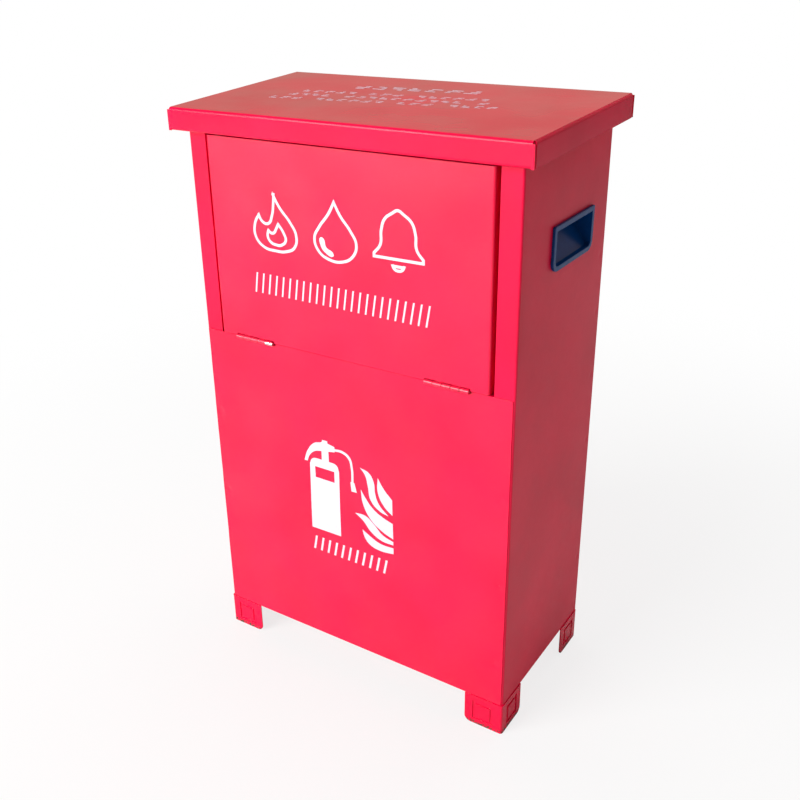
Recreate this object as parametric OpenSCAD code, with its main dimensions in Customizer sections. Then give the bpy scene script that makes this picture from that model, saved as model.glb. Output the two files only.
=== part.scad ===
// Floor cabinet of folded sheet steel for a pair of portable fire extinguishers.
// +X is the cabinet's right, -Y its front, +Z up. The origin is on the floor,
// under the middle of the lid. All sizes are in millimetres.

/* [Body] */
// Width over the side walls
body_w = 320; // [290:1:420]
// Depth over the posts and the back wall
body_d = 168; // [140:1:240]
// Height of the cabinet from the floor to the top of the lid
total_h = 556; // [500:1:700]
// Thickness of the folded steel sheet
sheet_t = 0.8; // [0.6:0.1:1.2]
// Outer radius of every fold that shows
bend_r = 2; // [1.6:0.1:3]
// Height of the joint between lower panel and flap
joint_z = 347; // [250:1:380]
// Depth of the flanges that stiffen the wall edges
wall_flange = 12; // [9:0.5:16]

// Height of the floor tray's upturned rim
tray_rim = 12; // [8:1:20]
// Clearance between the tray's rim and the walls
tray_gap = 0.2; // [0.1:0.1:1]

/* [Front posts] */
// Width of each post
post_w = 18.5; // [15:0.5:30]
// Depth of the return behind each post's inner edge
post_return = 10; // [6:0.5:16]

/* [Lower front panel] */
// How far the panel's side edges stay inside the cabinet's corners
panel_inset = 1.6; // [1:0.2:4]
// Depth of the folds along the panel's top and bottom
panel_fold = 10; // [8:0.5:14]

/* [Flap] */
// Gap between the flap and each post
flap_side_gap = 3.2; // [2.5:0.1:6]
// Gap between the flap's lower edge and the lower panel
flap_bottom_gap = 1.2; // [0.8:0.1:4]
// Gap between the flap's upper edge and the lid's skirt
flap_top_gap = 3; // [2.5:0.5:12]
// How far the flap's face stands out from the posts
flap_proud = 2.5; // [2:0.1:3]
// Depth of the flap's return flanges
flap_flange = 12; // [8:0.5:16]

/* [Lid] */
// Overhang of the lid past the body on all four sides
lid_overhang = 12; // [9:0.5:24]
// Height of the lid's skirts
skirt_h = 20; // [14:0.5:40]
// Depth of the hem folded inward under the front skirt
skirt_hem = 5; // [3:0.5:6]
// Width of the open slit beside each corner of the lid
corner_slit = 2.4; // [1.2:0.1:4]
// Clearance between the closed lid and the walls that carry it
lid_seat_gap = 0.3; // [0.2:0.1:1]

/* [Feet] */
// Height of the feet
foot_h = 33; // [20:1:60]
// Width of each leg of a foot
foot_w = 38.8; // [30:0.2:60]
// Thickness of the feet's sheet
foot_t = 1.2; // [1:0.1:2]
// How far the feet stand out from the walls and the lower panel
foot_proud = 0.8; // [0:0.1:1]
// Radius of each leg's lower free corner
foot_corner_r = 6; // [2:0.5:10]
// Outer size of the square ring pressed into each leg
ring_size = 21; // [14:0.5:24]
// Width of the pressed ring
ring_w = 3.2; // [2:0.1:4]
// Depth of the pressed ring
ring_depth = 0.5; // [0.2:0.1:0.8]

/* [Handles] */
// Length of each handle's rim
handle_l = 80; // [70:1:110]
// Height of each handle's rim
handle_h = 38; // [32:1:60]
// Height of the handles' middle above the floor
handle_z = 454.5; // [400:0.5:490]
// How far the handles sit behind the middle of the side walls
handle_y = 10.5; // [-20:0.5:20]
// Angle by which the rear end of each handle hangs low
handle_tilt = 1.6; // [0:0.1:5]
// How far the rim stands out from the wall
rim_t = 2.5; // [1.5:0.1:4]
// Width of the rim round the pocket
rim_w = 4.4; // [4:0.2:8]
// Radius of the rim's lower corners
rim_lower_r = 9; // [4:0.5:14]
// Radius of the rim's upper corners
rim_upper_r = 1.5; // [0.5:0.5:6]
// Depth of the pocket behind the wall at its upper edge
pocket_deep = 19; // [12:1:24]
// Depth of the pocket below the rim's face at its lower edge
pocket_shallow = 4; // [2:0.5:8]
// Wall of the plastic pocket
pocket_t = 1.6; // [1.2:0.1:2.5]
// Clearance between the pocket and its cut-out in the wall
pocket_gap = 0.3; // [0.2:0.1:1]

/* [Hinges] */
// Length of each hinge
hinge_l = 42; // [36:1:60]
// Distance from the cabinet's side to the middle of each hinge
hinge_inset = 60; // [50:1:90]
// Number of knuckles along each hinge
knuckles = 5; // [3:2:7]
// Outer radius of the knuckles
knuckle_r = 2.2; // [2:0.1:2.8]
// Radius of the pins
pin_r = 1.1; // [0.9:0.05:1.2]
// Clearance between a pin and its knuckles
pin_gap = 0.05; // [0.03:0.01:0.1]
// Clearance between neighbouring knuckles
knuckle_gap = 0.4; // [0.2:0.1:1]
// Height of the leaves
leaf_h = 22; // [14:1:30]
// Thickness of the leaves
leaf_t = 0.8; // [0.6:0.1:1.2]
// Clearance round the barrel in the sheets' notches
notch_gap = 0.4; // [0.3:0.1:1]

/* [Hidden] */
body_x = body_w / 2;
body_y = body_d / 2;
lid_x = body_x + lid_overhang;
lid_y = body_y + lid_overhang;
skirt_z = total_h - skirt_h;
wall_top = total_h - sheet_t - lid_seat_gap;
wall_h = wall_top - foot_h;
post_x = body_x - post_w;
panel_x = body_x - panel_inset;
panel_y = -body_y - sheet_t;
flap_x = post_x - flap_side_gap;
flap_y = -body_y - flap_proud;
flap_low = joint_z + flap_bottom_gap;
flap_top = skirt_z - flap_top_gap;
pocket_l = handle_l - 2 * rim_w;
pocket_h = handle_h - 2 * rim_w;
// The flap hinges' axis lies in front of the panel, so that the flap can hang down
flap_axis_y = panel_y - knuckle_r;
flap_axis_z = joint_z + flap_bottom_gap / 2;
// The lid hinges' axis lies just under the rear skirt
lid_axis_y = lid_y - knuckle_r;
lid_axis_z = skirt_z - knuckle_r - notch_gap;
hinge_x = body_x - hinge_inset;
// The front and rear skirts run on past the side folds, to the lid's corners
corner_tab = bend_r + sheet_t;
bore_r = pin_r + pin_gap;
notch_l = hinge_l + 2 * knuckle_gap;
notch_top = flap_axis_z + knuckle_r + notch_gap;
notch_low = min(joint_z - bend_r, flap_axis_z - knuckle_r - notch_gap);
// Number of flat strips that make up a quarter of a fold
fold_n = 4;
// Overlap of a cutter past the face that it cuts
cut = 1;
red = [0.82, 0.07, 0.13];
blue = [0.03, 0.17, 0.36];
steel = [0.6, 0.6, 0.62];
$fn = 48;

// Unit vector from p to q
function dir(p, q) = (q - p) / norm(q - p);

// A quarter turn to the left
function left(v) = [-v[1], v[0]];

// Points round the fold at corner b of a path from a to c, as pairs of a point
// on the path's side and a point on the side that lies t to the left of it
function fold_pairs(a, b, c, t, r) =
    let (
        u = dir(a, b),
        v = dir(b, c),
        side = sign(u[0] * v[1] - u[1] * v[0]),
        turn = acos(u * v),
        path_r = side > 0 ? r : r - t,
        centre = b - u * path_r * tan(turn / 2) + side * left(u) * path_r,
        out = -side * left(u)
    )
    [for (i = [0:fold_n])
        let (
            w = side * turn * i / fold_n,
            e = [out[0] * cos(w) - out[1] * sin(w), out[0] * sin(w) + out[1] * cos(w)]
        )
        [centre + path_r * e, centre + (path_r - side * t) * e]];

// Pairs of points along a whole folded path
function sheet_pairs(path, t, r) =
    let (
        n = len(path),
        first = left(dir(path[0], path[1])) * t,
        last = left(dir(path[n - 2], path[n - 1])) * t
    )
    concat(
        [[path[0], path[0] + first]],
        [for (i = [1:1:n - 2]) each fold_pairs(path[i - 1], path[i], path[i + 1], t, r)],
        [[path[n - 1], path[n - 1] + last]]
    );

// Section of a sheet that follows path, with its thickness t on the left
module sheet_section(path, t = sheet_t, r = bend_r) {
    pairs = sheet_pairs(path, t, r);
    n = len(pairs);
    polygon(concat([for (p = pairs) p[0]], [for (i = [n - 1:-1:0]) pairs[i][1]]));
}

// Extrudes a section drawn in Y and Z along X, over the middle length
module along_x(length) {
    rotate([90, 0, 90])
        translate([0, 0, -length / 2])
            linear_extrude(length) children();
}

// Extrudes a section drawn in X and Z along Y, over the middle length
module along_y(length) {
    rotate([90, 0, 0])
        translate([0, 0, -length / 2])
            linear_extrude(length) children();
}

module mirrored_x(on) {
    mirror([on ? 1 : 0, 0, 0]) children();
}

module mirrored_y(on) {
    mirror([0, on ? 1 : 0, 0]) children();
}

// Outline of a handle's rim or pocket: upper corners of radius up, lower of low
function handle_outline(l, h, low, up) =
    concat(
        [for (a = [180:15:270]) [-l / 2 + low + low * cos(a), -h / 2 + low + low * sin(a)]],
        [for (a = [270:15:360]) [l / 2 - low + low * cos(a), -h / 2 + low + low * sin(a)]],
        [for (a = [0:30:90]) [l / 2 - up + up * cos(a), h / 2 - up + up * sin(a)]],
        [for (a = [90:30:180]) [-l / 2 + up + up * cos(a), h / 2 - up + up * sin(a)]]
    );

// Turns a handle's forms about its middle, so that the rear end hangs low
module handle_turn() {
    translate([0, handle_y, handle_z])
        rotate([-handle_tilt, 0, 0])
            translate([0, -handle_y, -handle_z]) children();
}

// Extrudes a handle outline outward from the right wall, from depth x0 to x1
module handle_slab(x0, x1, grow) {
    translate([x0, handle_y, handle_z])
        rotate([90, 0, 90])
            linear_extrude(x1 - x0)
                polygon(handle_outline(
                    pocket_l + 2 * grow, pocket_h + 2 * grow,
                    max(0.5, rim_lower_r - rim_w + grow), max(0.5, rim_upper_r - rim_w + grow)));
}

// Wedge under the pocket's slanting floor, grown by the plastic's wall
module pocket_wedge(grow) {
    low = handle_z - pocket_h / 2;
    high = handle_z + pocket_h / 2;
    deep = body_x - pocket_deep - grow;
    shallow = body_x + rim_t - pocket_shallow - grow;
    translate([0, handle_y, 0])
        along_y(handle_l)
            polygon([
                [deep, high + handle_h], [deep, high], [shallow, low], [shallow, low - handle_h],
                [body_x + rim_t + cut, low - handle_h], [body_x + rim_t + cut, high + handle_h]
            ]);
}

module side_wall() {
    difference() {
        union() {
            translate([0, 0, foot_h])
                linear_extrude(wall_h)
                    sheet_section([[post_x, -body_y], [body_x, -body_y], [body_x, body_y]]);
            translate([0, 0, joint_z + sheet_t])
                linear_extrude(wall_top - joint_z - sheet_t)
                    sheet_section([[post_x, post_return - body_y], [post_x, -body_y],
                        [body_x - bend_r, -body_y]]);
            for (z = [foot_h, wall_top - sheet_t])
                translate([body_x - wall_flange, post_return - body_y, z])
                    cube([wall_flange - sheet_t / 2, body_d - post_return - 2 * wall_flange, sheet_t]);
        }
        handle_turn() handle_slab(body_x - wall_flange, body_x + cut, pocket_t + pocket_gap);
    }
}

module side_wall_right() color(red) side_wall();

module side_wall_left() color(red) mirrored_x(true) side_wall();

module back_wall() {
    inner = body_x - sheet_t;
    color(red) {
        translate([0, 0, foot_h])
            linear_extrude(wall_h)
                sheet_section([
                    [inner, body_y - wall_flange], [inner, body_y],
                    [-inner, body_y], [-inner, body_y - wall_flange]]);
        for (z = [foot_h, wall_top - sheet_t])
            translate([wall_flange - body_x, body_y - wall_flange, z])
                cube([body_w - 2 * wall_flange, wall_flange - sheet_t / 2, sheet_t]);
    }
}

module floor_tray() {
    x = body_x - 2 * sheet_t - tray_gap;
    y = body_y - sheet_t - tray_gap;
    low = foot_h + sheet_t;
    color(red) {
        along_x(2 * (x - bend_r))
            sheet_section([[-y, low + tray_rim], [-y, low], [y, low], [y, low + tray_rim]]);
        along_y(2 * (y - bend_r))
            sheet_section([[-x, low + tray_rim], [-x, low], [x, low], [x, low + tray_rim]]);
    }
}

module lower_front_panel() {
    fold_x = post_x - cut;
    color(red)
        difference() {
            union() {
                translate([-panel_x, panel_y, foot_h])
                    cube([2 * panel_x, sheet_t, joint_z - foot_h]);
                along_x(2 * fold_x)
                    sheet_section([
                        [panel_y + panel_fold, joint_z], [panel_y, joint_z],
                        [panel_y, foot_h], [panel_y + panel_fold, foot_h]]);
            }
            for (side = [-1, 1])
                translate([side * hinge_x - notch_l / 2, panel_y - cut, notch_low])
                    cube([notch_l, cut + sheet_t + leaf_t + notch_gap, joint_z]);
        }
}

module flap_panel() {
    flap_w = 2 * flap_x;
    color(red)
        difference() {
            union() {
                translate([0, 0, flap_low])
                    linear_extrude(flap_top - flap_low)
                        sheet_section([
                            [-flap_x, flap_y + flap_flange], [-flap_x, flap_y],
                            [flap_x, flap_y], [flap_x, flap_y + flap_flange]]);
                along_x(flap_w - 2 * bend_r)
                    sheet_section([
                        [flap_y, flap_low], [flap_y, flap_top], [flap_y + flap_flange, flap_top]],
                        t = -sheet_t);
            }
            for (side = [-1, 1])
                translate([side * hinge_x - notch_l / 2, flap_y - cut, flap_low - cut])
                    cube([notch_l, 2 * cut + sheet_t, notch_top - flap_low + cut]);
        }
}

module lid_shell() {
    color(red) {
        along_x(2 * (lid_x - bend_r))
            sheet_section([
                [skirt_hem - lid_y, skirt_z], [-lid_y, skirt_z], [-lid_y, total_h],
                [lid_y, total_h], [lid_y, skirt_z]],
                t = -sheet_t);
        along_y(2 * (lid_y - sheet_t - corner_slit))
            sheet_section([
                [-lid_x, skirt_z], [-lid_x, total_h], [lid_x, total_h], [lid_x, skirt_z]],
                t = -sheet_t);
        for (x = [-lid_x, lid_x - corner_tab], y = [-lid_y, lid_y - sheet_t])
            translate([x, y, skirt_z])
                cube([corner_tab, sheet_t, skirt_h - bend_r]);
    }
}

// Plan of a foot's two legs round the corner, thickness foot_t
module foot_plan() {
    x = body_x + foot_proud;
    y = body_y + sheet_t + foot_proud;
    sheet_section([[x - foot_w, -y], [x, -y], [x, foot_w - y]], t = foot_t, r = bend_r + foot_t / 2);
}

// Square ring pressed into a leg's outer face, drawn in the leg's own plane
module ring_outline() {
    difference() {
        square(ring_size, center = true);
        square(ring_size - 2 * ring_w, center = true);
    }
}

// Material outside a leg's rounded lower corner, drawn with that corner at the origin
module corner_waste() {
    difference() {
        translate([-cut, -cut]) square(foot_corner_r + cut);
        translate([foot_corner_r, foot_corner_r]) circle(foot_corner_r);
    }
}

// A foot at the front right corner, its legs joined by a web under the body
module foot() {
    x = body_x + foot_proud;
    y = body_y + sheet_t + foot_proud;
    mid = foot_w / 2 + foot_t / 2;
    difference() {
        union() {
            linear_extrude(foot_h) foot_plan();
            translate([x - foot_w + foot_corner_r, foot_t / 2 - y, foot_h - foot_t])
                cube([foot_w - foot_corner_r - foot_t / 2, foot_w - foot_corner_r, foot_t]);
        }
        translate([x - mid, ring_depth - y, foot_h / 2])
            rotate([90, 0, 0]) linear_extrude(ring_depth + cut) ring_outline();
        translate([x - ring_depth, mid - y, foot_h / 2])
            rotate([90, 0, 90]) linear_extrude(ring_depth + cut) ring_outline();
        translate([x - foot_w, 2 * foot_t - y, 0])
            rotate([90, 0, 0]) linear_extrude(3 * foot_t) corner_waste();
        translate([x - 2 * foot_t, foot_w - y, 0])
            rotate([90, 0, 90]) linear_extrude(3 * foot_t) mirror([1, 0]) corner_waste();
    }
}

module foot_front_right() color(red) foot();

module foot_front_left() color(red) mirrored_x(true) foot();

module foot_rear_right() color(red) mirrored_y(true) foot();

module foot_rear_left() color(red) mirrored_x(true) mirrored_y(true) foot();

module handle() {
    handle_turn() difference() {
        union() {
            handle_slab(body_x, body_x + rim_t, rim_w);
            intersection() {
                handle_slab(body_x - pocket_deep - pocket_t, body_x + rim_t / 2, pocket_t);
                pocket_wedge(pocket_t);
            }
        }
        intersection() {
            handle_slab(body_x - pocket_deep - cut, body_x + rim_t + cut, 0);
            pocket_wedge(0);
        }
    }
}

module handle_right() color(blue) handle();

module handle_left() color(blue) mirrored_x(true) handle();

// One hinge leaf. Its section is drawn in Y and Z about the pin: tab joins the
// knuckles to the plate, and only every second knuckle from first carries a tab
module hinge_leaf(x, y, z, first) {
    pitch = hinge_l / knuckles;
    translate([x, y, z])
        difference() {
            union() {
                for (i = [first:2:knuckles - 1])
                    translate([pitch * (i + 0.5) - hinge_l / 2, 0, 0]) {
                        along_x(pitch - knuckle_gap) {
                            circle(knuckle_r);
                            children(0);
                        }
                    }
                along_x(hinge_l) children(1);
            }
            along_x(hinge_l + 2 * cut) circle(bore_r);
        }
}

// Leaf welded behind the lower panel
module flap_leaf_fixed(x) {
    back = panel_y + sheet_t - flap_axis_y;
    color(red)
        hinge_leaf(x, flap_axis_y, flap_axis_z, 0) {
            translate([0, -knuckle_r]) square([back + leaf_t, leaf_t]);
            translate([back, -knuckle_r - leaf_h]) square([leaf_t, leaf_h + leaf_t]);
        }
}

// Leaf welded behind the flap
module flap_leaf_moving(x) {
    back = flap_y + sheet_t - flap_axis_y;
    color(red)
        hinge_leaf(x, flap_axis_y, flap_axis_z, 1) {
            union() {
                translate([0, knuckle_r - leaf_t]) square([back + leaf_t, leaf_t]);
                translate([back, knuckle_r - leaf_t]) square([leaf_t, leaf_t + 2 * notch_gap]);
            }
            translate([back, knuckle_r + notch_gap]) square([leaf_t, leaf_h]);
        }
}

// Angled leaf welded to the back of the cabinet
module lid_leaf_fixed(x) {
    back = body_y - lid_axis_y;
    color(red)
        hinge_leaf(x, lid_axis_y, lid_axis_z, 0) {
            translate([back, -knuckle_r]) square([-back, leaf_t]);
            union() {
                translate([back, -knuckle_r - leaf_h]) square([leaf_t, leaf_h + leaf_t]);
                translate([back, -knuckle_r]) square([-back - knuckle_r - notch_gap, leaf_t]);
            }
        }
}

// Leaf welded inside the lid's rear skirt
module lid_leaf_moving(x) {
    back = lid_y - sheet_t - leaf_t - lid_axis_y;
    rise = min(leaf_h, skirt_h - 2 * bend_r);
    color(red)
        hinge_leaf(x, lid_axis_y, lid_axis_z, 1) {
            translate([back, 0]) square([leaf_t, knuckle_r + 2 * notch_gap]);
            translate([back, knuckle_r + notch_gap]) square([leaf_t, rise]);
        }
}

module hinge_pin(x, y, z) {
    color(steel)
        translate([x, y, z])
            rotate([0, 90, 0]) cylinder(h = hinge_l, r = pin_r, center = true);
}

module flap_hinge_left_fixed() flap_leaf_fixed(-hinge_x);

module flap_hinge_left_moving() flap_leaf_moving(-hinge_x);

module flap_hinge_left_pin() hinge_pin(-hinge_x, flap_axis_y, flap_axis_z);

module flap_hinge_right_fixed() flap_leaf_fixed(hinge_x);

module flap_hinge_right_moving() flap_leaf_moving(hinge_x);

module flap_hinge_right_pin() hinge_pin(hinge_x, flap_axis_y, flap_axis_z);

module lid_hinge_left_fixed() lid_leaf_fixed(-hinge_x);

module lid_hinge_left_moving() lid_leaf_moving(-hinge_x);

module lid_hinge_left_pin() hinge_pin(-hinge_x, lid_axis_y, lid_axis_z);

module lid_hinge_right_fixed() lid_leaf_fixed(hinge_x);

module lid_hinge_right_moving() lid_leaf_moving(hinge_x);

module lid_hinge_right_pin() hinge_pin(hinge_x, lid_axis_y, lid_axis_z);

side_wall_left();
side_wall_right();
back_wall();
floor_tray();
lower_front_panel();
flap_panel();
lid_shell();
foot_front_left();
foot_front_right();
foot_rear_left();
foot_rear_right();
handle_left();
handle_right();
flap_hinge_left_fixed();
flap_hinge_left_moving();
flap_hinge_left_pin();
flap_hinge_right_fixed();
flap_hinge_right_moving();
flap_hinge_right_pin();
lid_hinge_left_fixed();
lid_hinge_left_moving();
lid_hinge_left_pin();
lid_hinge_right_fixed();
lid_hinge_right_moving();
lid_hinge_right_pin();
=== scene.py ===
"""Finish of a floor cabinet for fire extinguishers: folded red sheet steel, print, hinges and handles."""

import math

import bpy
from mathutils import Matrix, Vector


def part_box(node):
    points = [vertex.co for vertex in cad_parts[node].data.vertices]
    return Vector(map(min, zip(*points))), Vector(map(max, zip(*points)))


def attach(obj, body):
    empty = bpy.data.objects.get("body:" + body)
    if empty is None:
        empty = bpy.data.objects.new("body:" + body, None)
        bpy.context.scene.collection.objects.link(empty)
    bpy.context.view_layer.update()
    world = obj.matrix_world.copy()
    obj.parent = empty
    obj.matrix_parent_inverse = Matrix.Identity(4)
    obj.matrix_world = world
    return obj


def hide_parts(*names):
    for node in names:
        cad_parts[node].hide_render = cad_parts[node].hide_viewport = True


bl_info = {
    "name": "Extinguisher Cabinet",
    "version": (1, 0, 0),
    "blender": (4, 5, 0),
    "location": "View3D > Sidebar > Cabinet",
    "description": "Builds the finish of a folded steel cabinet around its fixed frame",
    "category": "Object",
}

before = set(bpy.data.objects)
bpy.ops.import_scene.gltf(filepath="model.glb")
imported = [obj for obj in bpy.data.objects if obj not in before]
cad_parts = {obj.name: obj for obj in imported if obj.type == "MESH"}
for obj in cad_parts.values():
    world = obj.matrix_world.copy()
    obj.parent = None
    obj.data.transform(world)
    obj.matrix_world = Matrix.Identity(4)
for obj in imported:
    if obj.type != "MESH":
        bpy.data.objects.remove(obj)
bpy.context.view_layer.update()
MM = 0.001
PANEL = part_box("lower_front_panel")
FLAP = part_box("flap_panel")
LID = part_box("lid_shell")
INK = 0.03 * MM
INK_LIFT = 0.05 * MM
WELD_PATCH = 11 * MM
WELD_CUTS = 5
FRONT = (0, 2)
SIDE = (1, 2)
TOP = (0, 1)


class CabinetSheet(bpy.types.PropertyGroup):
    """How the folded sheets are meshed and how far they have sprung out of true."""

    pitch: bpy.props.FloatProperty(
        name="Pitch", description="Spacing of the cuts that let a sheet buckle",
        default=12 * MM, min=4 * MM, unit="LENGTH")
    buckle: bpy.props.FloatProperty(
        name="Buckle", description="Height of the soft waves in a large sheet",
        default=2.0 * MM, min=0, unit="LENGTH")
    edge: bpy.props.FloatProperty(
        name="Edge", description="Width of the rounding that paint gives a cut edge",
        default=0.36 * MM, min=0.05 * MM, unit="LENGTH")


class CabinetFinish(bpy.types.PropertyGroup):
    """Colours of the paint, the print and the plastic."""

    enamel: bpy.props.FloatVectorProperty(
        name="Enamel", description="Red powder coat", subtype="COLOR",
        default=(0.88, 0.003, 0.055), min=0, max=1)
    enamel_deep: bpy.props.FloatVectorProperty(
        name="Deep enamel", description="The coat where it lies thick", subtype="COLOR",
        default=(0.74, 0.002, 0.043), min=0, max=1)
    ink: bpy.props.FloatVectorProperty(
        name="Ink", description="Screen-printed white ink", subtype="COLOR",
        default=(0.68, 0.64, 0.74), min=0, max=1)
    plastic: bpy.props.FloatVectorProperty(
        name="Plastic", description="Blue moulded plastic", subtype="COLOR",
        default=(0.002, 0.055, 0.22), min=0, max=1)
    steel: bpy.props.FloatVectorProperty(
        name="Steel", description="Bare steel", subtype="COLOR",
        default=(0.62, 0.60, 0.58), min=0, max=1)


class CabinetStage(bpy.types.PropertyGroup):
    """Camera, floor and lamps."""

    camera_place: bpy.props.FloatVectorProperty(
        name="Camera", description="Where the camera stands", subtype="TRANSLATION",
        default=(0.4709, -0.7690, 0.7230), unit="LENGTH")
    camera_target: bpy.props.FloatVectorProperty(
        name="Target", description="Point on the camera's axis", subtype="TRANSLATION",
        default=(-0.1027, -0.0191, 0.2636), unit="LENGTH")
    camera_roll: bpy.props.FloatProperty(
        name="Roll", description="Tilt of the camera about its axis",
        default=math.radians(-3.33), subtype="ANGLE")
    lens: bpy.props.FloatProperty(
        name="Lens", description="Focal length in millimetres", default=46.87, unit="CAMERA")
    key: bpy.props.FloatProperty(
        name="Key", description="Power of the main softbox in watts", default=160, min=0,
        unit="POWER")
    paleness: bpy.props.FloatProperty(
        name="Paleness", description="How far the floor's shadow is lifted towards white",
        default=0.80, min=0, max=1, subtype="FACTOR")
    shift: bpy.props.FloatVectorProperty(
        name="Shift", description="Shift of the frame, as a share of its width",
        default=(0.1243, -0.0092), size=2)


class Wire:
    """A shader socket on which Python's operators add Math nodes."""

    def __init__(self, recipe, socket):
        self.recipe = recipe
        self.socket = socket

    def math(self, operation, *values):
        return self.recipe.node("ShaderNodeMath", {"operation": operation}, values)

    def __add__(self, other):
        return self.math("ADD", self, other)

    __radd__ = __add__

    def __sub__(self, other):
        return self.math("SUBTRACT", self, other)

    def __rsub__(self, other):
        return self.math("SUBTRACT", other, self)

    def __mul__(self, other):
        return self.math("MULTIPLY", self, other)

    __rmul__ = __mul__

    def above(self, low, high):
        """0 below low, 1 above high, and a smooth step between them."""
        return self.recipe.node(
            "ShaderNodeMapRange", {"interpolation_type": "SMOOTHSTEP"},
            {"Value": self, "From Min": low, "From Max": high})


class Recipe:
    """A node tree that is being written, with one way of adding a node to it."""

    def __init__(self, tree, output):
        self.tree = tree
        self.tree.nodes.clear()
        self.end = self.tree.nodes.new(output)

    def node(self, kind, settings=None, values=(), output=0):
        """Adds a node, with its settings first and then the values or links of its sockets."""
        made = self.tree.nodes.new(kind)
        for key, value in (settings or {}).items():
            setattr(made, key, value)
        pairs = values.items() if isinstance(values, dict) else enumerate(values)
        for key, value in pairs:
            self.feed(made.inputs[key], value)
        return Wire(self, made.outputs[output])

    def feed(self, socket, value):
        """Links a wire to a socket, or sets the socket's own value."""
        if isinstance(value, Wire):
            self.tree.links.new(value.socket, socket)
        elif isinstance(value, tuple) and len(value) == 3 and socket.type == "RGBA":
            socket.default_value = (*value, 1)
        else:
            socket.default_value = value

    def place(self):
        """The place on the object, in its own coordinates."""
        return self.node("ShaderNodeTexCoord", output="Object")

    def along(self, axis, vector=None):
        """One coordinate of a vector, by default of the place."""
        return self.node("ShaderNodeSeparateXYZ", None, (vector or self.place(),), output=axis)

    def noise(self, size, detail=2.0, roughness=0.5):
        """Noise from 0 to 1 whose lumps are about size metres across."""
        return self.node(
            "ShaderNodeTexNoise", {"noise_dimensions": "3D"},
            {"Vector": self.place(), "Scale": 1 / size, "Detail": detail,
             "Roughness": roughness})

    def mix(self, share, first, second):
        """The first colour where share is 0 and the second where it is 1; 6 and 7 are their sockets."""
        return self.node(
            "ShaderNodeMix", {"data_type": "RGBA"}, {"Factor": share, 6: first, 7: second}, output=2)

    def bump(self, height, depth):
        """A normal from a height, whose full step is depth metres."""
        return self.node("ShaderNodeBump", None, {"Height": height, "Strength": 1.0, "Distance": depth})

    def seen_by_camera(self):
        """1 on a ray straight from the camera, and 0 on any other."""
        return self.node("ShaderNodeLightPath", output="Is Camera Ray")

    def close(self, shader):
        """Links the finished shader to the tree's output."""
        self.feed(self.end.inputs["Surface"], shader)


class Finish(Recipe):
    """A new material whose one shader gets all its values by name."""

    def __init__(self, name):
        self.material = bpy.data.materials.new(name)
        self.material.use_nodes = True
        super().__init__(self.material.node_tree, "ShaderNodeOutputMaterial")

    def coat(self, **values):
        """Feeds the shader's sockets, whose names are written with _ for a space."""
        named = {key.replace("_", " "): value for key, value in values.items()}
        self.close(self.node("ShaderNodeBsdfPrincipled", None, named))
        return self.material


def enamel_finish(name, gloss=0.13, peel=1.0, coat=0.50, coat_gloss=0.16, worn_below=0.0):
    """Red powder coat with clouded pigment, orange peel, dust and a patchy clear coat over it.

    Where worn_below is given, it is chipped up to about that height.
    """
    settings = bpy.context.scene.cabinet_finish
    red, deep = tuple(settings.enamel), tuple(settings.enamel_deep)
    r = Finish(name)
    mottle = r.noise(6 * MM, detail=2.0)
    specks = r.noise(1.5 * MM, detail=0.0).above(0.83, 0.87)
    colour = r.mix(r.noise(90 * MM, detail=3.0).above(0.30, 0.75), red, deep)
    colour = r.mix(mottle.above(0.2, 0.9) * 0.15, colour, deep)
    colour = r.mix(specks * 0.05, colour, (0.30, 0.004, 0.02))
    rough = mottle * 0.06 + gloss
    height = r.noise(2.2 * MM, detail=1.0) * 5 + r.noise(0.7 * MM, detail=1.0)
    if worn_below:
        low = 1 - r.along(2).above(0.2 * worn_below, worn_below)
        chips = (r.noise(2.6 * MM, detail=4.0) * low).above(0.46, 0.52)
        colour = r.mix(chips, colour, (0.10, 0.045, 0.03))
        rough = rough + chips * 0.35
    clear = 0.0
    if coat:
        clear = (r.noise(70 * MM, detail=3.0).above(0.30, 0.70) * 0.5 + 0.5) * coat
    return r.coat(
        Base_Color=colour, Roughness=rough, Normal=r.bump(height, 0.005 * MM * peel),
        Coat_Weight=clear, Coat_Roughness=coat_gloss, IOR=1.5, Specular_IOR_Level=0.2)


def hinge_finish(name, bare_from=None):
    """Enamel on a hinge, rubbed to bright steel to the right of, before and under a place."""
    settings = bpy.context.scene.cabinet_finish
    r = Finish(name)
    grime = r.noise(1.8 * MM, detail=3.0)
    colour = r.mix(grime.above(0.45, 0.7) * 0.7, tuple(settings.enamel), (0.25, 0.004, 0.02))
    metal = 0.0
    if bare_from is not None:
        across, back, up = bare_from
        ragged = r.noise(1.3 * MM, detail=3.0) * (2.5 * MM)
        metal = (r.along(0) + ragged).above(across, across + 0.8 * MM)
        metal = metal * (1 - (r.along(1) + ragged).above(back, back + 0.6 * MM))
        metal = metal * (1 - (r.along(2) + ragged).above(up, up + 0.6 * MM))
        colour = r.mix(metal, colour, tuple(settings.steel))
    return r.coat(
        Base_Color=colour, Roughness=grime * 0.2 + 0.28, Metallic=metal,
        Normal=r.bump(grime, 0.03 * MM), Coat_Weight=0.2, Coat_Roughness=0.15)


def ink_finish(name):
    """White screen ink, laid unevenly enough for the red to show through in places."""
    r = Finish(name)
    thin = r.noise(3.5 * MM, detail=4.0, roughness=0.65).above(0.42, 0.78)
    weave = r.noise(0.45 * MM, detail=0.0)
    colour = r.mix(thin * 0.16, tuple(bpy.context.scene.cabinet_finish.ink), (0.86, 0.30, 0.38))
    return r.coat(Base_Color=colour, Roughness=weave * 0.12 + 0.36, Normal=r.bump(weave, 0.004 * MM))


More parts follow.
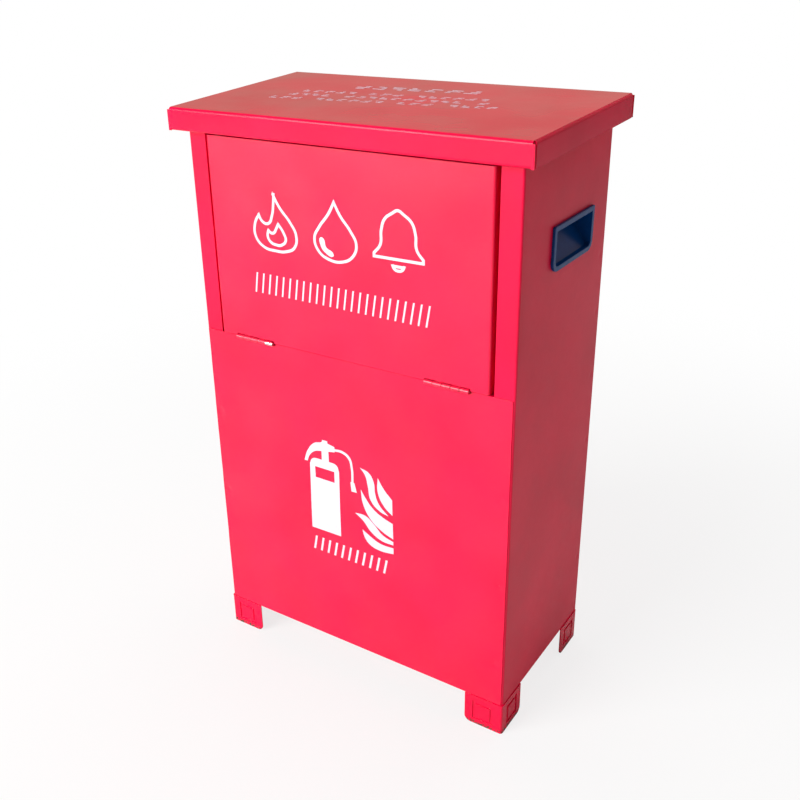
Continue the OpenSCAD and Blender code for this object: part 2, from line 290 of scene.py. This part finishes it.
def plastic_finish(name):
    """Blue moulded plastic with a fine satin grain."""
    r = Finish(name)
    grain = r.noise(0.9 * MM, detail=2.0)
    scuff = r.noise(7 * MM, detail=4.0)
    blue = tuple(bpy.context.scene.cabinet_finish.plastic)
    colour = r.mix(scuff.above(0.4, 0.8) * 0.25, blue, (0.006, 0.08, 0.29))
    return r.coat(
        Base_Color=colour, Roughness=scuff * 0.12 + 0.17, Normal=r.bump(grain, 0.006 * MM),
        IOR=1.42, Specular_IOR_Level=0.25)


def steel_finish(name):
    """Bare drawn steel wire, dulled by handling."""
    r = Finish(name)
    drawn = r.noise(0.5 * MM, detail=3.0)
    colour = r.mix(drawn, tuple(bpy.context.scene.cabinet_finish.steel), (0.35, 0.33, 0.32))
    return r.coat(Base_Color=colour, Metallic=1.0, Roughness=drawn * 0.25 + 0.25)


def work_on(piece):
    """Leaves only this piece selected, and makes it the active one."""
    if bpy.context.object and bpy.context.object.mode != "OBJECT":
        bpy.ops.object.mode_set(mode="OBJECT")
    bpy.ops.object.select_all(action="DESELECT")
    piece.select_set(True)
    bpy.context.view_layer.objects.active = piece


def apply_modifier(piece, kind, **settings):
    """Adds a modifier, sets it up and applies it."""
    work_on(piece)
    modifier = piece.modifiers.new(kind.title(), kind)
    for key, value in settings.items():
        setattr(modifier, key, value)
    bpy.ops.object.modifier_apply(modifier=modifier.name)


def cut_across(piece, axis, places):
    """Bisects the whole mesh at each place along an axis."""
    normal = Vector((0, 0, 0))
    normal[axis] = 1
    work_on(piece)
    bpy.ops.object.mode_set(mode="EDIT")
    for place in places:
        bpy.ops.mesh.select_all(action="SELECT")
        bpy.ops.mesh.bisect(plane_co=normal * place, plane_no=normal)
    bpy.ops.object.mode_set(mode="OBJECT")


def steps(low, high, pitch):
    """Evenly spaced places strictly between low and high, about pitch apart."""
    count = max(1, round((high - low) / pitch))
    return [low + (high - low) * i / count for i in range(1, count)]


def node_copy(node, name):
    """A copy of a node whose loose triangles are joined into whole faces."""
    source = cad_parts[node]
    piece = bpy.data.objects.new(name, source.data.copy())
    bpy.context.scene.collection.objects.link(piece)
    piece.data.materials.clear()
    work_on(piece)
    bpy.ops.object.mode_set(mode="EDIT")
    bpy.ops.mesh.select_all(action="SELECT")
    bpy.ops.mesh.remove_doubles(threshold=0.002 * MM)
    bpy.ops.mesh.dissolve_limited(angle_limit=math.radians(1))
    bpy.ops.object.mode_set(mode="OBJECT")
    return piece


def round_edges(piece, width, segments=2):
    """Rounds the sharp edges of a piece, as paint or a mould does."""
    apply_modifier(
        piece, "BEVEL", width=width, segments=segments, limit_method="ANGLE",
        angle_limit=math.radians(50), use_clamp_overlap=True, miter_outer="MITER_ARC")


def sheet_copy(node, name, axes, pitch=None):
    """A copy of a sheet with painted edges, cut into a grid along the given axes."""
    settings = bpy.context.scene.cabinet_sheet
    piece = node_copy(node, name)
    round_edges(piece, settings.edge)
    low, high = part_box(node)
    for axis in axes:
        cut_across(piece, axis, steps(low[axis], high[axis], pitch or settings.pitch))
    return piece


def ease(share):
    """A smooth step from 0 to 1."""
    share = min(1.0, max(0.0, share))
    return share * share * (3 - 2 * share)


def weigh(piece, name, weight):
    """A vertex group whose weights come from a function of the place."""
    group = piece.vertex_groups.new(name=name)
    for vertex in piece.data.vertices:
        value = weight(vertex.co)
        if value > 0:
            group.add([vertex.index], min(1.0, value), "REPLACE")
    return group.name


def field_weight(low, high, axes, margin):
    """Weight that fades out towards the borders of a field along the given axes."""
    def weight(place):
        value = 1.0
        for axis in axes:
            inside = min(place[axis] - low[axis], high[axis] - place[axis])
            value *= ease(inside / margin)
        return value
    return weight


def line_weight(start, end, axes, reach):
    """Weight that fades out with the distance from a line between two places in a plane."""
    start, end = Vector(start), Vector(end)
    run = end - start

    def weight(place):
        point = Vector((place[axes[0]], place[axes[1]]))
        share = 0.0
        if run.length > 0:
            share = min(1.0, max(0.0, (point - start).dot(run) / run.length_squared))
        away = (point - start - run * share).length / reach
        return (1 - away * away) ** 2 if away < 1 else 0.0
    return weight


def push(piece, axis, distance, weight, texture=None):
    """Moves the surface along an axis, by a weight and perhaps a texture."""
    group = weigh(piece, "push", weight)
    settings = {"direction": "XYZ"[axis], "vertex_group": group, "strength": distance, "mid_level": 0.0}
    if texture:
        settings.update(texture=texture, texture_coords="LOCAL", mid_level=0.5, strength=2 * distance)
    apply_modifier(piece, "DISPLACE", **settings)
    piece.vertex_groups.clear()


def waves(size, depth=1):
    """Cloudy noise whose lumps are about size metres across."""
    texture = bpy.data.textures.new("waves", "CLOUDS")
    texture.noise_scale = size
    texture.noise_depth = depth
    texture.noise_basis = "ORIGINAL_PERLIN"
    return texture


def refine(piece, axes, place, reach, cuts):
    """Subdivides the faces round a place in a plane."""
    work_on(piece)
    bpy.ops.object.mode_set(mode="EDIT")
    bpy.ops.mesh.select_all(action="DESELECT")
    bpy.ops.object.mode_set(mode="OBJECT")
    for face in piece.data.polygons:
        away = max(abs(face.center[axis] - value) for axis, value in zip(axes, place))
        face.select = away < reach
    bpy.ops.object.mode_set(mode="EDIT")
    bpy.ops.mesh.subdivide(number_cuts=cuts)
    bpy.ops.object.mode_set(mode="OBJECT")


def finish_piece(piece, finish, body, slot, *nodes):
    """Gives a finished piece its material, its shading and its place in the frame."""
    work_on(piece)
    bpy.ops.object.shade_smooth_by_angle(angle=math.radians(30))
    apply_modifier(piece, "WEIGHTED_NORMAL", keep_sharp=True, weight=80)
    piece.data.materials.clear()
    piece.data.materials.append(finish)
    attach(piece, body)
    if nodes:
        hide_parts(*nodes)
    return piece


def drawn(name, loops):
    """A flat mesh from closed outlines; a point is (x, y), or (x, y, 1) where the line turns a corner."""
    bpy.ops.object.select_all(action="DESELECT")
    curve = bpy.data.curves.new(name, "CURVE")
    curve.dimensions = "2D"
    curve.fill_mode = "BOTH"
    curve.resolution_u = 8
    for loop in loops:
        spline = curve.splines.new("BEZIER")
        spline.bezier_points.add(len(loop) - 1)
        spline.use_cyclic_u = True
        for point, target in zip(loop, spline.bezier_points):
            target.co = (point[0] * MM, point[1] * MM, 0)
            kind = "VECTOR" if len(point) == 3 else "AUTO"
            target.handle_left_type = target.handle_right_type = kind
    shape = bpy.data.objects.new(name, curve)
    bpy.context.scene.collection.objects.link(shape)
    work_on(shape)
    bpy.ops.object.convert(target="MESH")
    return bpy.context.object


def outlined(name, loop, width):
    """A line of even width that runs along the inside of a closed outline."""
    shape = drawn(name, [loop])
    bpy.ops.object.mode_set(mode="EDIT")
    bpy.ops.mesh.select_all(action="SELECT")
    bpy.ops.mesh.remove_doubles(threshold=0.05 * MM)
    bpy.ops.mesh.dissolve_limited(angle_limit=math.radians(0.5))
    bpy.ops.mesh.select_all(action="SELECT")
    bpy.ops.mesh.inset(thickness=width, use_even_offset=True)
    bpy.ops.mesh.delete(type="ONLY_FACE")
    bpy.ops.object.mode_set(mode="OBJECT")
    return shape


def joined(name, shapes):
    """One piece from several."""
    bpy.ops.object.select_all(action="DESELECT")
    for shape in shapes:
        shape.select_set(True)
    bpy.context.view_layer.objects.active = shapes[0]
    bpy.ops.object.join()
    shapes[0].name = name
    return shapes[0]


def stand_up(piece, y):
    """Turns a flat shape drawn in X and Y up into X and Z, in the plane at y."""
    work_on(piece)
    piece.matrix_world = Matrix.Translation((0, y, 0)) @ Matrix.Rotation(math.radians(90), 4, "X")
    bpy.ops.object.transform_apply(location=True, rotation=True, scale=True)


def lay_on(piece, sheet, axis, forward, box):
    """Presses a flat print onto a sheet, along the sheet's own grid of cuts, and gives it a thickness."""
    low, high = box
    pitch = bpy.context.scene.cabinet_sheet.pitch
    for cut_axis in range(3):
        if cut_axis != axis:
            cut_across(piece, cut_axis, steps(low[cut_axis], high[cut_axis], pitch))
    settings = {"use_project_" + "xyz"[axis]: True}
    apply_modifier(
        piece, "SHRINKWRAP", wrap_method="PROJECT", target=sheet, offset=INK_LIFT,
        use_positive_direction=forward, use_negative_direction=not forward, **settings)
    apply_modifier(piece, "SOLIDIFY", thickness=INK, offset=1.0)


def slanted_bar(x, y, width, height, lean=0.0):
    """Outline of an upright bar whose top leans over by lean."""
    return [(x, y, 1), (x + width, y, 1), (x + width + lean, y + height, 1), (x + lean, y + height, 1)]


class CABINET_OT_walls(bpy.types.Operator):
    """Dress the side walls, the back wall and the floor tray, with their spot welds"""

    bl_idname = "cabinet.walls"
    bl_label = "Walls"

    weld_y = 77
    weld_heights = (420.7, 367.5, 305.6, 238.0, 171.0, 104.0)

    def execute(self, context):
        enamel = enamel_finish("wall_enamel", gloss=0.30, peel=1.5, coat=0.0)
        for side, sign in (("right", 1), ("left", -1)):
            node = "side_wall_" + side
            low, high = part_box(node)
            wall = sheet_copy(node, node + "_sheet", (1, 2))
            push(wall, 0, 0.9 * MM, field_weight(low, high, SIDE, 45 * MM), waves(130 * MM))
            for z in self.weld_heights:
                self.spot_weld(wall, sign, (self.weld_y * MM, z * MM))
            finish_piece(wall, enamel, "cabinet", "red_enamel", node)
        low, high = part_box("back_wall")
        back = sheet_copy("back_wall", "back_wall_sheet", (0, 2))
        push(back, 1, 0.8 * MM, field_weight(low, high, FRONT, 45 * MM), waves(150 * MM))
        finish_piece(back, enamel, "cabinet", "red_enamel", "back_wall")
        tray = sheet_copy("floor_tray", "floor_tray_sheet", (0, 1), pitch=20 * MM)
        low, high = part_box("floor_tray")
        push(tray, 2, -0.8 * MM, field_weight(low, high, TOP, 40 * MM), waves(120 * MM))
        finish_piece(tray, enamel, "cabinet", "red_enamel", "floor_tray")
        return {"FINISHED"}

    def spot_weld(self, wall, sign, place):
        """The shallow dimple that a spot welder's electrode leaves."""
        refine(wall, SIDE, place, WELD_PATCH, WELD_CUTS)
        push(wall, 0, -0.45 * MM * sign, line_weight(place, place, SIDE, 4 * MM))


class CABINET_OT_front(bpy.types.Operator):
    """Dress the lower front panel, with its buckles, weld dimples and wavy edges"""

    bl_idname = "cabinet.front"
    bl_label = "Lower Front Panel"

    welds = ((150.3, 253.3), (152.0, 165.9), (149.9, 79.5), (-152.1, 259), (-152.5, 169.8))

    def execute(self, context):
        low, high = PANEL
        panel = sheet_copy("lower_front_panel", "lower_front_sheet", (0, 2))
        push(panel, 1, context.scene.cabinet_sheet.buckle, field_weight(low, high, FRONT, 40 * MM),
             waves(110 * MM))
        push(panel, 0, 0.5 * MM, lambda place: ease((abs(place.x) - 150 * MM) / (8 * MM)), waves(28 * MM))
        for side in (-1, 1):
            top, foot = (side * 141 * MM, high.z - 8 * MM), (side * 142 * MM, high.z - 85 * MM)
            push(panel, 1, -0.5 * MM, line_weight(top, foot, FRONT, 9 * MM))
        for x, z in self.welds:
            place = (x * MM, z * MM)
            refine(panel, FRONT, place, WELD_PATCH, WELD_CUTS)
            push(panel, 1, 0.9 * MM, line_weight(place, place, FRONT, 5 * MM))
        finish_piece(panel, enamel_finish("front_enamel"), "cabinet", "red_enamel", "lower_front_panel")
        panel.data.materials.append(enamel_finish("fold_enamel", gloss=0.10, coat=1.0, coat_gloss=0.06))
        for face in panel.data.polygons:
            if face.center.z > high.z - 2.2 * MM:
                face.material_index = 1
        return {"FINISHED"}


class CABINET_OT_flap(bpy.types.Operator):
    """Dress the flap, with the creases above its left hinge"""

    bl_idname = "cabinet.flap"
    bl_label = "Flap"

    # start, end, reach and depth of each crease in millimetres
    creases = (
        ((-122, 431), (-110, 388), 9, 0.7), ((-104, 383), (-92, 362), 8, -0.5),
        ((-112, 358), (-78, 357), 6, 0.6), ((-96, 366), (-88, 362), 5, -0.5))

    def execute(self, context):
        low, high = FLAP
        flap = sheet_copy("flap_panel", "flap_sheet", (0, 2))
        push(flap, 1, 0.8 * context.scene.cabinet_sheet.buckle, field_weight(low, high, FRONT, 35 * MM),
             waves(95 * MM))
        for start, end, reach, depth in self.creases:
            start, end = Vector(start) * MM, Vector(end) * MM
            push(flap, 1, depth * MM, line_weight(start, end, FRONT, reach * MM))
        finish_piece(flap, enamel_finish("flap_enamel"), "flap", "red_enamel", "flap_panel")
        return {"FINISHED"}


class CABINET_OT_lid(bpy.types.Operator):
    """Dress the lid, rippled as thin sheet is"""

    bl_idname = "cabinet.lid"
    bl_label = "Lid"

    def execute(self, context):
        low, high = LID
        lid = sheet_copy("lid_shell", "lid_sheet", (0, 1))
        field = field_weight(low, high, TOP, 40 * MM)
        push(lid, 2, 0.25 * MM, field, waves(80 * MM))
        finish_piece(lid, enamel_finish("lid_enamel", gloss=0.06, peel=0.5, coat=1.0, coat_gloss=0.04),
                     "lid", "red_enamel", "lid_shell")
        inside = enamel_finish("lid_inside_enamel", gloss=0.45, coat=0.0)
        lid.data.materials.append(inside)
        lid.data.materials.append(enamel_finish("skirt_enamel", gloss=0.20, coat=0.0))
        for face in lid.data.polygons:
            if face.normal.z < -0.5 and face.center.z > high.z - 5 * MM:
                face.material_index = 1
            elif face.normal.z < 0.95:
                face.material_index = 2
        return {"FINISHED"}


class CABINET_OT_feet(bpy.types.Operator):
    """Dress the four stamped feet"""

    bl_idname = "cabinet.feet"
    bl_label = "Feet"

    def execute(self, context):
        enamel = enamel_finish("foot_enamel", coat=0.1, worn_below=9 * MM)
        for end in ("front", "rear"):
            for side in ("left", "right"):
                node = "foot_{}_{}".format(end, side)
                foot = node_copy(node, node + "_stamping")
                round_edges(foot, 0.45 * MM, segments=3)
                self.sink_ring(foot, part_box(node), 0, 1 if side == "right" else -1)
                self.sink_ring(foot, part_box(node), 1, 1 if end == "rear" else -1)
                finish_piece(foot, enamel, "cabinet", "red_enamel", node)
        return {"FINISHED"}

    def sink_ring(self, foot, box, axis, outward):
        """Presses the square ring of one leg deeper, as the press leaves it."""
        face = box[1][axis] if outward > 0 else box[0][axis]
        bottom = face - outward * 0.5 * MM
        push(foot, axis, -0.35 * MM * outward, lambda place: abs(place[axis] - bottom) < 0.08 * MM)


class CABINET_OT_handles(bpy.types.Operator):
    """Dress the two moulded handles"""

    bl_idname = "cabinet.handles"
    bl_label = "Handles"

    def execute(self, context):
        plastic = plastic_finish("handle_plastic")
        for side in ("left", "right"):
            node = "handle_" + side
            handle = node_copy(node, node + "_moulding")
            round_edges(handle, 0.7 * MM, segments=3)
            finish_piece(handle, plastic, "cabinet", "blue_plastic", node)
        return {"FINISHED"}


class CABINET_OT_hinges(bpy.types.Operator):
    """Dress the hinge leaves and pins"""

    bl_idname = "cabinet.hinges"
    bl_label = "Hinges"

    def execute(self, context):
        steel = steel_finish("pin_steel_wire")
        painted = hinge_finish("hinge_enamel")
        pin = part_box("flap_hinge_left_pin")
        rubbed_place = (pin[1].x - 7 * MM, pin[0].y + 1.5 * MM, pin[1].z + 1.2 * MM)
        rubbed = hinge_finish("hinge_enamel_rubbed", bare_from=rubbed_place)
        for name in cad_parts:
            if "hinge" not in name:
                continue
            if name.endswith("_pin"):
                piece = node_copy(name, name + "_wire")
                round_edges(piece, 0.2 * MM)
                finish_piece(piece, steel, "cabinet", "pin_steel", name)
                continue
            piece = node_copy(name, name + "_leaf")
            round_edges(piece, 0.12 * MM)
            moving = name.endswith("_moving")
            body = name.split("_")[0] if moving else "cabinet"
            finish = rubbed if name == "flap_hinge_left_fixed" else painted
            finish_piece(piece, finish, body, "painted_hinge", name)
        return {"FINISHED"}


class CABINET_OT_flap_print(bpy.types.Operator):
    """Print three outlined figures and a band of slanted bars on the flap"""

    bl_idname = "cabinet.flap_print"
    bl_label = "Flap Print"

    def execute(self, context):
        # outlines in millimetres, across and up the flap
        flame = [(-69, 491, 1), (-61, 478), (-51, 467), (-44.5, 455), (-47, 443.5), (-57, 438), (-69, 437),
                 (-82, 439), (-91, 448), (-91, 461), (-85, 471, 1), (-81, 464), (-76, 463), (-72, 470),
                 (-70, 480)]
        core = [(-65, 465, 1), (-58, 456), (-56, 449), (-61, 443.5), (-68, 442.5), (-75, 445), (-78, 451),
                (-76, 458, 1), (-71.5, 455), (-68, 459)]
        drop = [(-6, 491.5, 1), (1, 479), (11, 467), (16.5, 456), (13, 445), (2, 438), (-13, 438),
                (-24, 444.5), (-28, 456), (-22.5, 467), (-13, 479)]
        gleam = [(-21, 457), (-18, 457), (-15, 449.5), (-8, 445), (-8, 442.5), (-16, 444.5), (-21, 451)]
        bell = [(55, 491), (61, 488), (68.5, 482), (72, 472), (73, 460), (79, 452.5, 1), (79, 448, 1),
                (31, 448, 1), (31, 452.5, 1), (37, 460), (38, 472), (41.5, 482), (49, 488)]
        clapper = [(48, 444.5, 1), (62, 444.5, 1), (59.5, 440), (55, 438.5), (50.5, 440)]
        width = 2.5 * MM
        shapes = [outlined("line", loop, width) for loop in (flame, core, drop, bell, clapper)]
        shapes.append(drawn("gleam", [gleam]))
        shapes.append(drawn("bars", self.band()))
        piece = joined("flap_print", shapes)
        stand_up(piece, FLAP[0].y - 5 * MM)
        lay_on(piece, bpy.data.objects["flap_sheet"], 1, True, FLAP)
        finish_piece(piece, ink_finish("flap_ink"), "flap", None)
        return {"FINISHED"}

    def band(self):
        """A level row of slim slanted bars."""
        first, low, height, pitch, count = -95, 396, 19, 7.3, 25
        return [slanted_bar(first + pitch * i, low, 1.6, height, 3) for i in range(count)]


class CABINET_OT_pictogram(bpy.types.Operator):
    """Print the plain extinguisher and flames on the lower panel"""

    bl_idname = "cabinet.pictogram"
    bl_label = "Pictogram"

    def execute(self, context):
        # outlines in millimetres, across and up the panel
        body = [(-47.4, 159.3, 1), (-13.9, 159.3, 1), (-13.1, 231, 1), (-15.6, 237), (-24.2, 238.6, 1),
                (-24.2, 249.5, 1), (-17.2, 250.8, 1), (-17.2, 256.3, 1), (-25, 258, 1), (-25, 260.3, 1),
                (-31, 260.3, 1), (-31, 258.6), (-40.2, 254.5), (-48, 245), (-52.6, 232.9, 1), (-49, 232.9, 1),
                (-46, 240), (-39.6, 246), (-32, 248.2, 1), (-32.2, 238.7, 1), (-43.2, 237), (-46.3, 231, 1)]
        window = [(-40.5, 217.6, 1), (-18.6, 217.6, 1), (-18.6, 229.4, 1), (-40.5, 229.4, 1)]
        hose = [(-17.2, 254.3, 1), (-8, 254.6), (-0.2, 250), (2.6, 240), (3.0, 224.5, 1), (3.9, 224.5, 1),
                (6.4, 214.8, 1), (0.4, 214.6, 1), (-0.5, 224.5, 1), (0.6, 224.5, 1), (0.2, 240), (-2.2, 248),
                (-8.5, 252), (-17.2, 251.9, 1)]
        flames = [
            [(10.5, 243, 1), (20.4, 240), (25.6, 231), (26.5, 221), (30.6, 210), (40.5, 200.5, 1), (31, 203),
             (21.8, 211.5), (18.8, 225.7), (16, 236.5)],
            [(29.7, 238, 1), (35.4, 228.9), (44.8, 219, 1), (44.8, 202.5, 1), (36.1, 209.6), (29.6, 222.6)],
            [(10.9, 220.1, 1), (16.2, 211.9), (23.8, 203.3), (33.5, 197.5), (44.8, 193.6, 1),
             (44.8, 176.5, 1), (32.2, 181.6), (21.2, 190), (13, 205)],
            [(3.6, 192.2, 1), (15, 192.5), (24.6, 185.6), (33, 177.5), (44.8, 173.5, 1), (44.8, 169.8, 1),
             (31.9, 170.4), (20.8, 176.3), (12.1, 186.4)],
            [(11.1, 176, 1), (19, 171.4), (30, 166.6), (44.8, 166.4, 1), (44.8, 160, 1), (29.4, 158.5),
             (18.2, 161.8), (13, 168.4)],
        ]
        shapes = [drawn("bottle", [body, window]), drawn("hose", [hose])]
        shapes += [drawn("flame", [loop]) for loop in flames]
        shapes.append(drawn("foot_line", [slanted_bar(x, 134.5, 2.2, 15.5, 3) for x in range(-47, 38, 8)]))
        piece = joined("pictogram", shapes)
        stand_up(piece, PANEL[0].y - 5 * MM)
        lay_on(piece, bpy.data.objects["lower_front_sheet"], 1, True, PANEL)
        finish_piece(piece, ink_finish("panel_ink"), "cabinet", None)
        return {"FINISHED"}


class CABINET_OT_lid_print(bpy.types.Operator):
    """Print four rows of small dashes on the lid"""

    bl_idname = "cabinet.lid_print"
    bl_label = "Lid Print"

    def execute(self, context):
        # start and height on the lid in millimetres, marks, their pitch and size, and the row's slope
        rows = ((-65, 35, 7, 17.5, 14.5, 0.10), (-101, 7, 16, 11.2, 8.5, 0.085),
                (-105, -9, 17, 11.2, 8.5, 0.09), (-113, -27, 19, 11.2, 8.5, 0.105))
        loops = []
        for row, (start, y, count, pitch, size, slope) in enumerate(rows):
            for i in range(count):
                if row and math.sin(1.7 * i + 2.1 * row) < -0.9:
                    continue
                loops += self.mark(start + pitch * i, y + slope * pitch * i, size, 3 * row + i)
        piece = drawn("lid_print", loops)
        piece.matrix_world = Matrix.Translation((0, 0, LID[1].z + 5 * MM))
        bpy.ops.object.transform_apply(location=True, rotation=True, scale=True)
        lay_on(piece, bpy.data.objects["lid_sheet"], 2, False, LID)
        finish_piece(piece, ink_finish("lid_ink"), "lid", None)
        return {"FINISHED"}

    def mark(self, x, y, size, turn):
        """Three short dashes, one above the other, whose lengths vary from mark to mark."""
        dashes = []
        for level in range(3):
            length = size * (0.62 + 0.30 * math.sin(2.3 * turn + 1.9 * level))
            shift = (size - length) * (0.5 + 0.5 * math.sin(1.1 * turn + level))
            dashes.append(slanted_bar(x + shift, y + size * level / 3, length, size / 8, 0.3))
        return dashes


class CABINET_OT_stage(bpy.types.Operator):
    """Set up the camera, the floor, the backdrop and the lamps"""

    bl_idname = "cabinet.stage"
    bl_label = "Stage"

    # name, place, target, side in metres and watts of each weak softbox
    weak_softboxes = (
        ("fill", (2.0, 1.1, 1.7), (0, 0, 0.3), 1.2, 2),
        ("overhead", (-0.2, 0.5, 2.6), (0, 0, 0.5), 1.2, 20),
        ("rear", (0.5, 1.9, 1.6), (0, 0, 0.3), 1.2, 8))

    def execute(self, context):
        stage = context.scene.cabinet_stage
        place = Vector(stage.camera_place)
        axis = Vector(stage.camera_target) - place
        bpy.ops.object.camera_add(location=place)
        camera = context.object
        camera.name = "camera"
        turn = axis.to_track_quat("-Z", "Y").to_matrix().to_4x4()
        camera.matrix_world = Matrix.Translation(place) @ turn @ Matrix.Rotation(stage.camera_roll, 4, "Z")
        camera.data.lens = stage.lens
        camera.data.sensor_width = 36
        camera.data.shift_x, camera.data.shift_y = stage.shift
        context.scene.camera = camera
        self.floor(context)
        self.lamps(context)
        context.scene.view_settings.view_transform = "Standard"
        return {"FINISHED"}

    def floor(self, context):
        """A plain pale floor that keeps a soft shadow."""
        stage = context.scene.cabinet_stage
        bpy.ops.mesh.primitive_grid_add(x_subdivisions=8, y_subdivisions=8, size=30)
        floor = context.object
        floor.name = "floor"
        r = Finish("pale_floor")
        colour = r.mix(r.noise(0.5, detail=3.0), (0.78, 0.77, 0.76), (0.82, 0.81, 0.80))
        seen = r.seen_by_camera()
        far = r.node("ShaderNodeVectorMath", {"operation": "LENGTH"}, (r.place(),), output=1)
        pale = far.above(0.25, 1.1) * (1 - stage.paleness) + stage.paleness
        matt = r.node("ShaderNodeBsdfDiffuse", None, {"Color": colour})
        glow = r.node("ShaderNodeEmission", None, {"Color": (1.0, 1.0, 1.0), "Strength": 1.0})
        r.close(r.node("ShaderNodeMixShader", None, (seen * pale, matt, glow)))
        floor.data.materials.append(r.material)

    def lamps(self, context):
        """A large softbox ahead on the left and three weak ones, in an even room with a warm wall behind.

        The weak ones light the cabinet but don't show in its enamel.
        """
        world = bpy.data.worlds.new("studio")
        context.scene.world = world
        world.use_nodes = True
        r = Recipe(world.node_tree, "ShaderNodeOutputWorld")
        way = r.node("ShaderNodeTexCoord", output="Generated")
        low = 1 - r.along(2, way).above(0.25, 0.60)
        room = r.mix(low * r.along(1, way).above(-0.2, 0.7), (0.12, 0.12, 0.125), (0.40, 0.28, 0.22))
        colour = r.mix(r.seen_by_camera(), room, (1.0, 1.0, 1.0))
        r.close(r.node("ShaderNodeBackground", None, {"Color": colour, "Strength": 1.0}))
        self.softbox("key", (-1.25, -2.72, 1.55), (0, 0, 0.28), 2.1, context.scene.cabinet_stage.key)
        for values in self.weak_softboxes:
            self.softbox(*values).visible_glossy = False

    def softbox(self, name, place, target, size, power):
        bpy.ops.object.light_add(type="AREA", location=place)
        lamp = bpy.context.object
        lamp.name = name
        lamp.data.shape = "SQUARE"
        lamp.data.size = size
        lamp.data.energy = power
        aim = Vector(target) - Vector(place)
        lamp.matrix_world = Matrix.Translation(place) @ aim.to_track_quat("-Z", "Y").to_matrix().to_4x4()
        return lamp


SETTINGS = {
    "cabinet_sheet": CabinetSheet,
    "cabinet_finish": CabinetFinish,
    "cabinet_stage": CabinetStage,
}
OPERATORS = [
    CABINET_OT_stage, CABINET_OT_walls, CABINET_OT_front, CABINET_OT_flap, CABINET_OT_lid,
    CABINET_OT_feet, CABINET_OT_handles, CABINET_OT_hinges, CABINET_OT_flap_print,
    CABINET_OT_pictogram, CABINET_OT_lid_print]


class CABINET_PT_panel(bpy.types.Panel):
    """Lists the cabinet's operators"""

    bl_idname = "CABINET_PT_panel"
    bl_label = "Extinguisher Cabinet"
    bl_space_type = "VIEW_3D"
    bl_region_type = "UI"
    bl_category = "Cabinet"

    def draw(self, context):
        for operator in OPERATORS:
            self.layout.operator(operator.bl_idname)
        for name, group in SETTINGS.items():
            for prop in group.__annotations__:
                self.layout.prop(getattr(context.scene, name), prop)


def register():
    for group in SETTINGS.values():
        bpy.utils.register_class(group)
    for operator in OPERATORS:
        bpy.utils.register_class(operator)
    bpy.utils.register_class(CABINET_PT_panel)
    for name, group in SETTINGS.items():
        setattr(bpy.types.Scene, name, bpy.props.PointerProperty(type=group))


def unregister():
    for name in SETTINGS:
        delattr(bpy.types.Scene, name)
    bpy.utils.unregister_class(CABINET_PT_panel)
    for operator in reversed(OPERATORS):
        bpy.utils.unregister_class(operator)
    for group in reversed(SETTINGS.values()):
        bpy.utils.unregister_class(group)


def main():
    register()
    bpy.ops.cabinet.stage()
    bpy.ops.cabinet.walls()
    bpy.ops.cabinet.front()
    bpy.ops.cabinet.flap()
    bpy.ops.cabinet.lid()
    bpy.ops.cabinet.feet()
    bpy.ops.cabinet.handles()
    bpy.ops.cabinet.hinges()
    bpy.ops.cabinet.flap_print()
    bpy.ops.cabinet.pictogram()
    bpy.ops.cabinet.lid_print()


if __name__ == "__main__":
    main()
